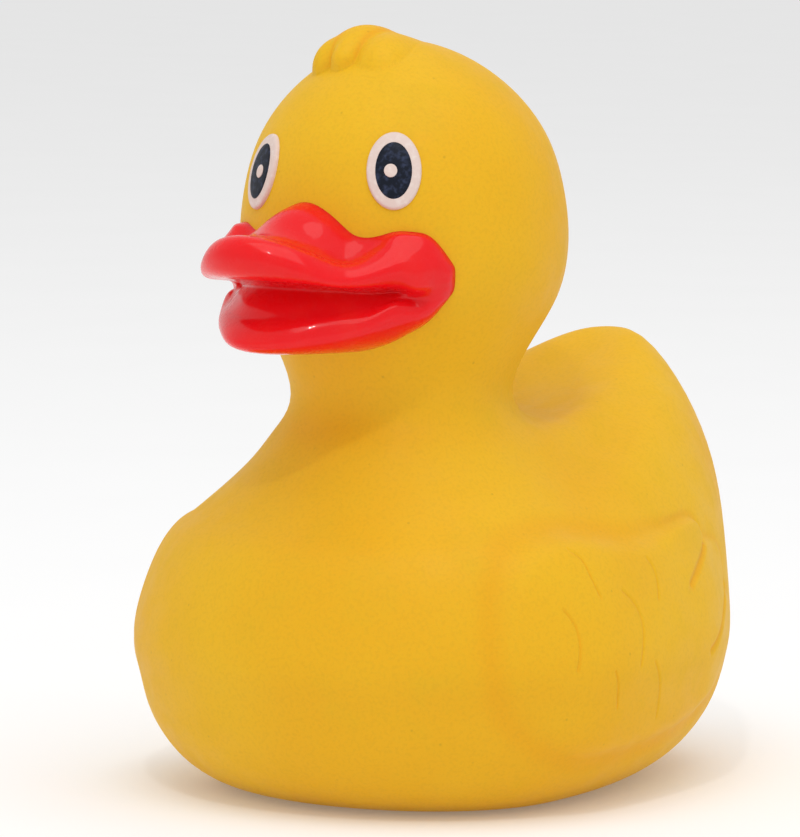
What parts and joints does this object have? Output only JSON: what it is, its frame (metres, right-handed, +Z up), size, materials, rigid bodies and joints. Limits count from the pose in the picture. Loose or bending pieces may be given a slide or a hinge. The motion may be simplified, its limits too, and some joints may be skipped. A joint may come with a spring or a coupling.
{
  "type": "rubber duck",
  "caption": "Hollow moulded bath duck with a wide smiling bill, raised oval eyes, relief wings, an upright tail, a tuft on the crown and a squeaker plug in its flat base.",
  "frame": {"origin": "on the floor under the middle of the duck's bounding box, at the centre of the squeaker in the base", "axes": "+Z up; the duck faces -Y and its left side is +X"},
  "size_m": [0.0616, 0.0752, 0.0827],
  "materials": {
    "vinyl": "matte yellow soft vinyl",
    "bill_paint": "glossy red enamel on the vinyl",
    "eye_white": "satin off-white paint",
    "eye_black": "satin black paint",
    "squeaker_plastic": "natural moulded plastic"
  },
  "bodies": {
    "root": {"duck_body": "vinyl", "squeaker": "squeaker_plastic"}
  },
  "joints": []
}
